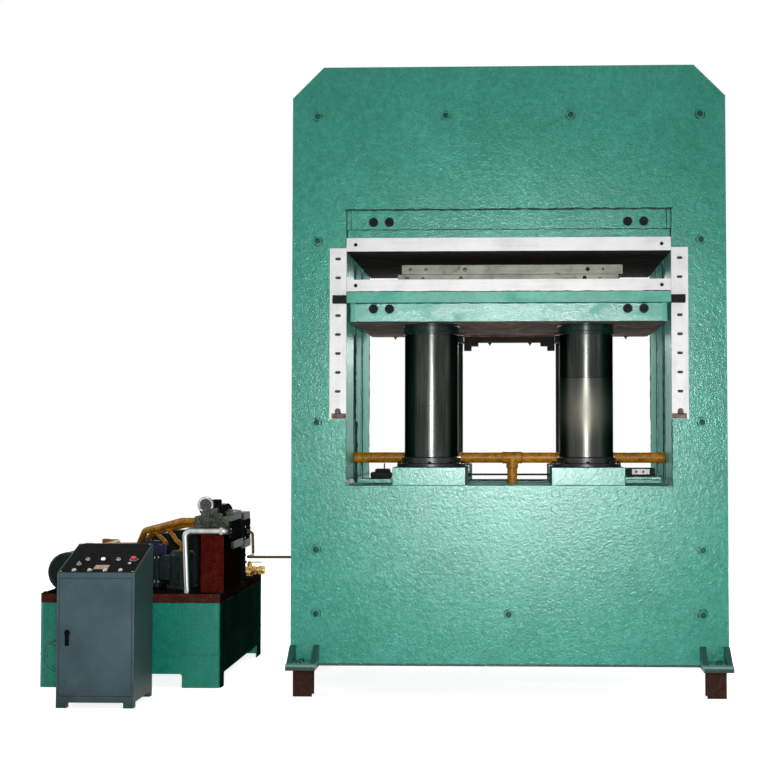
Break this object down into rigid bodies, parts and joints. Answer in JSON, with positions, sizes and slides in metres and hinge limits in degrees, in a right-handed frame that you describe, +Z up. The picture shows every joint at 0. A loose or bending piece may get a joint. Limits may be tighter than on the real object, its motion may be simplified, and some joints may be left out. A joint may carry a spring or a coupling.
{
  "type": "rubber vulcanizing press",
  "caption": "Green frame-type rubber vulcanizing press with heated platens, a moving table on rams, an oil power unit and a floor control cabinet.",
  "frame": {"origin": "on the floor, at the centre of the footprint of the whole machine", "axes": "+X to the right as the operator sees the machine, +Y away from the operator, +Z up"},
  "size_m": [4.072, 2.127, 3.658],
  "materials": {
    "press_paint": "satin, brushed on by hand",
    "primer": "matte primer",
    "platen_steel": "ground bright",
    "mould_steel": "oiled",
    "polished_steel": "ground and polished",
    "black_steel": "blackened",
    "pipe_paint": "gloss",
    "tank_paint": "gloss",
    "oxide_paint": "matte",
    "motor_paint": "satin",
    "valve_paint": "satin",
    "chrome_trim": "polished",
    "fitting_brass": "cast",
    "cabinet_paint": "fine texture",
    "board_steel": "zinc plated",
    "dark_plastic": "matte",
    "white_plastic": "gloss",
    "red_plastic": "gloss"
  },
  "bodies": {
    "machine": {"front_frame": "press_paint", "middle_frame": "press_paint", "rear_frame": "press_paint", "foot_front_left": "primer", "foot_rear_left": "primer", "foot_front_right": "primer", "foot_rear_right": "primer", "upper_beam": "press_paint", "upper_platen": "platen_steel", "cylinder_front_left": "press_paint", "cylinder_rear_left": "press_paint", "cylinder_front_right": "press_paint", "cylinder_rear_right": "press_paint", "guide_rail_front_left": "platen_steel", "guide_rail_rear_left": "platen_steel", "guide_rail_front_right": "platen_steel", "guide_rail_rear_right": "platen_steel", "feed_pipe": "pipe_paint", "drain_pipe": "black_steel", "supply_pipe": "pipe_paint", "tank": "tank_paint", "tank_lid": "oxide_paint", "clean_out_cover": "tank_paint", "main_motor": "motor_paint", "main_pump": "motor_paint", "second_motor_pump": "motor_paint", "upright_motor": "motor_paint", "filter": "motor_paint", "valve_stand": "oxide_paint", "manifold": "valve_paint", "pressure_gauge": "chrome_trim", "rear_valve_block": "valve_paint", "return_pipe": "chrome_trim", "pressure_pipe": "pipe_paint", "stop_valve": "fitting_brass", "cabinet_shell": "cabinet_paint", "component_board": "board_steel"},
    "table": {"moving_beam": "press_paint", "table_plate": "press_paint", "lower_platen": "platen_steel", "lower_mould": "mould_steel", "upper_mould": "mould_steel", "ram_front_left": "polished_steel", "ram_rear_left": "polished_steel", "ram_front_right": "polished_steel", "ram_rear_right": "polished_steel", "guide_shoe_front_left": "black_steel", "guide_shoe_rear_left": "black_steel", "guide_shoe_front_right": "black_steel", "guide_shoe_rear_right": "black_steel"},
    "coupling": {"drive_shaft": "black_steel"},
    "door": {"cabinet_door": "cabinet_paint"},
    "handle": {"door_handle": "dark_plastic"},
    "button_1": {"push_button_1": "white_plastic"},
    "button_2": {"push_button_2": "white_plastic"},
    "button_3": {"push_button_3": "white_plastic"},
    "button_4": {"push_button_4": "white_plastic"},
    "stop_button": {"emergency_stop": "red_plastic"},
    "knob": {"selector_knob": "chrome_trim"},
    "valve_lever": {"stop_valve_lever": "fitting_brass"}
  },
  "joints": [
    {"name": "table_lift", "type": "slide", "parent": "machine", "child": "table", "axis": [0, 0, 1], "range_m": [-0.665, 0.058]},
    {"name": "shaft_spin", "type": "hinge", "parent": "machine", "child": "coupling", "pos_m": [-1.892, 0.0405, 0.6793], "axis": [0, 1, 0], "continuous": true},
    {"name": "door_swing", "type": "hinge", "parent": "machine", "child": "door", "pos_m": [-1.304, -1.0545, 0.39], "axis": [0, 0, 1], "range_deg": [0, 110]},
    {"name": "handle_turn", "type": "hinge", "parent": "door", "child": "handle", "pos_m": [-1.6625, -1.0545, 0.412], "axis": [0, 1, 0], "range_deg": [-90, 0]},
    {"name": "button_1_press", "type": "slide", "parent": "machine", "child": "button_1", "axis": [0, 0.2998, -0.954], "range_m": [0, 0.0035], "stiffness_N_per_m": 600, "springref_m": -0.002},
    {"name": "button_2_press", "type": "slide", "parent": "machine", "child": "button_2", "axis": [0, 0.2998, -0.954], "range_m": [0, 0.0035], "stiffness_N_per_m": 600, "springref_m": -0.002},
    {"name": "button_3_press", "type": "slide", "parent": "machine", "child": "button_3", "axis": [0, 0.2998, -0.954], "range_m": [0, 0.0035], "stiffness_N_per_m": 600, "springref_m": -0.002},
    {"name": "button_4_press", "type": "slide", "parent": "machine", "child": "button_4", "axis": [0, 0.2998, -0.954], "range_m": [0, 0.0035], "stiffness_N_per_m": 600, "springref_m": -0.002},
    {"name": "emergency_press", "type": "slide", "parent": "machine", "child": "stop_button", "axis": [0, 0.2998, -0.954], "range_m": [0, 0.0055], "stiffness_N_per_m": 900, "springref_m": -0.003},
    {"name": "selector_turn", "type": "hinge", "parent": "machine", "child": "knob", "pos_m": [-1.63107, -0.9453, 0.77732], "axis": [0, -0.2998, 0.954], "range_deg": [-45, 45]},
    {"name": "valve_lever_turn", "type": "hinge", "parent": "machine", "child": "valve_lever", "pos_m": [-0.983, 0.8165, 0.64], "axis": [0, 0, 1], "range_deg": [0, 90]}
  ]
}
